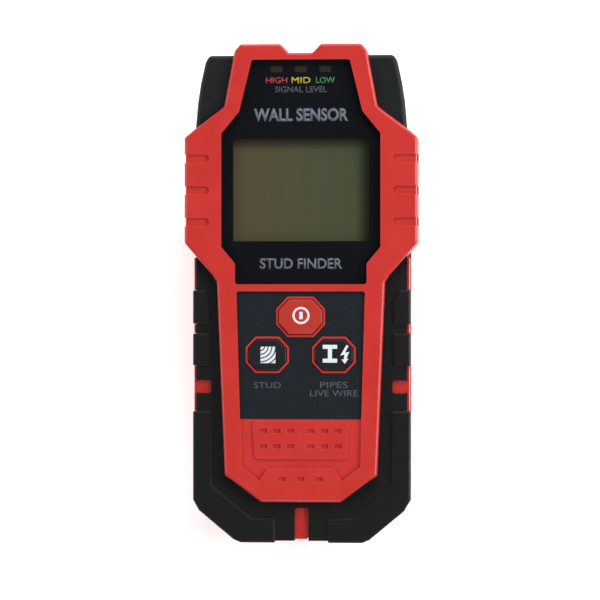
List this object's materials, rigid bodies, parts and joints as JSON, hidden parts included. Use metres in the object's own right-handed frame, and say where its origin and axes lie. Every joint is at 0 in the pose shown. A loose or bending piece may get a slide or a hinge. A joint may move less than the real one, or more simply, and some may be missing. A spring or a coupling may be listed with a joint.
{
  "type": "stud finder",
  "caption": "Hand-held wall scanner with a display window, signal lights, sprung keys, a soft U-shaped grip and a hinged battery door.",
  "frame": {"origin": "centre of the bounding box at the glide pads' lowest plane", "axes": "+X to the right seen from the face, +Y towards the sensing end, +Z out of the face"},
  "size_m": [0.0762, 0.163, 0.0314],
  "materials": {
    "red_abs": "fine-textured moulded ABS, satin",
    "grip_rubber": "moulded thermoplastic rubber, matte",
    "black_abs": "moulded ABS, satin",
    "bezel_black": "smooth black, behind the lens",
    "clear_window": "clear polished acrylic",
    "adhesive": "thin double-sided foam tape",
    "lcd_glass": "olive reflective liquid crystal panel",
    "light_diffuser": "milky acrylic light plate",
    "light_guide": "smoked clear light guide, unlit",
    "led_body": "surface-mount lamp",
    "contact_rubber": "striped elastomer contact strip",
    "panel_slate": "matte printed inlay",
    "red_key": "satin moulded key",
    "black_key": "satin moulded key",
    "switch_black": "moulded component body",
    "plunger_brown": "switch plunger",
    "circuit_board": "green solder mask on fibreglass",
    "screw_steel": "zinc-plated self-tapping screw",
    "capacitor_can": "aluminium can",
    "copper": "enamelled copper winding and plated pads",
    "nylon": "natural nylon",
    "gold_pin": "gold-flashed pin",
    "battery_jacket": "plain printed steel jacket",
    "nickel": "nickel-plated terminal",
    "snap_vinyl": "vinyl-covered snap connector",
    "lead_red": "insulated lead",
    "lead_black": "insulated lead",
    "foam": "soft foam strip",
    "felt": "pressed felt"
  },
  "bodies": {
    "casing": {"battery": "battery_jacket", "battery_cushion": "foam", "battery_lead_black": "lead_black", "battery_lead_red": "lead_red", "battery_snap": "snap_vinyl", "battery_terminals": "nickel", "board_screws": "screw_steel", "capacitors": "capacitor_can", "case_screws": "screw_steel", "coil_former": "nylon", "controller_chip": "switch_black", "display_bezel": "bezel_black", "display_window": "clear_window", "front_shell": "red_abs", "glide_pads": "felt", "keypad_panel": "panel_slate", "lcd_backlight": "light_diffuser", "lcd_contact_strip": "contact_rubber", "lcd_panel": "lcd_glass", "left_shoulder": "black_abs", "light_guide": "light_guide", "link_header": "switch_black", "link_pins": "gold_pin", "main_board": "circuit_board", "rear_shell": "red_abs", "right_shoulder": "black_abs", "search_coil": "copper", "sensing_plates": "copper", "sensor_board": "circuit_board", "signal_leds": "led_body", "soft_grip": "grip_rubber", "sounder": "switch_black", "switch_bodies": "switch_black", "window_adhesive": "adhesive"},
    "power_key": {"power_key": "red_key", "power_plunger": "plunger_brown"},
    "wood_key": {"wood_key": "black_key", "wood_plunger": "plunger_brown"},
    "metal_key": {"metal_key": "black_key", "metal_plunger": "plunger_brown"},
    "battery_door": {"battery_door": "red_abs"}
  },
  "joints": [
    {"name": "power_press", "type": "slide", "parent": "casing", "child": "power_key", "axis": [0, 0, -1], "range_m": [0, 0.0005], "stiffness_N_per_m": 1500},
    {"name": "wood_press", "type": "slide", "parent": "casing", "child": "wood_key", "axis": [0, 0, -1], "range_m": [0, 0.0005], "stiffness_N_per_m": 1500},
    {"name": "metal_press", "type": "slide", "parent": "casing", "child": "metal_key", "axis": [0, 0, -1], "range_m": [0, 0.0005], "stiffness_N_per_m": 1500},
    {"name": "battery_door_swing", "type": "hinge", "parent": "casing", "child": "battery_door", "pos_m": [0, -0.0766, 0.0006], "axis": [-1, 0, 0], "range_deg": [0, 75]}
  ]
}
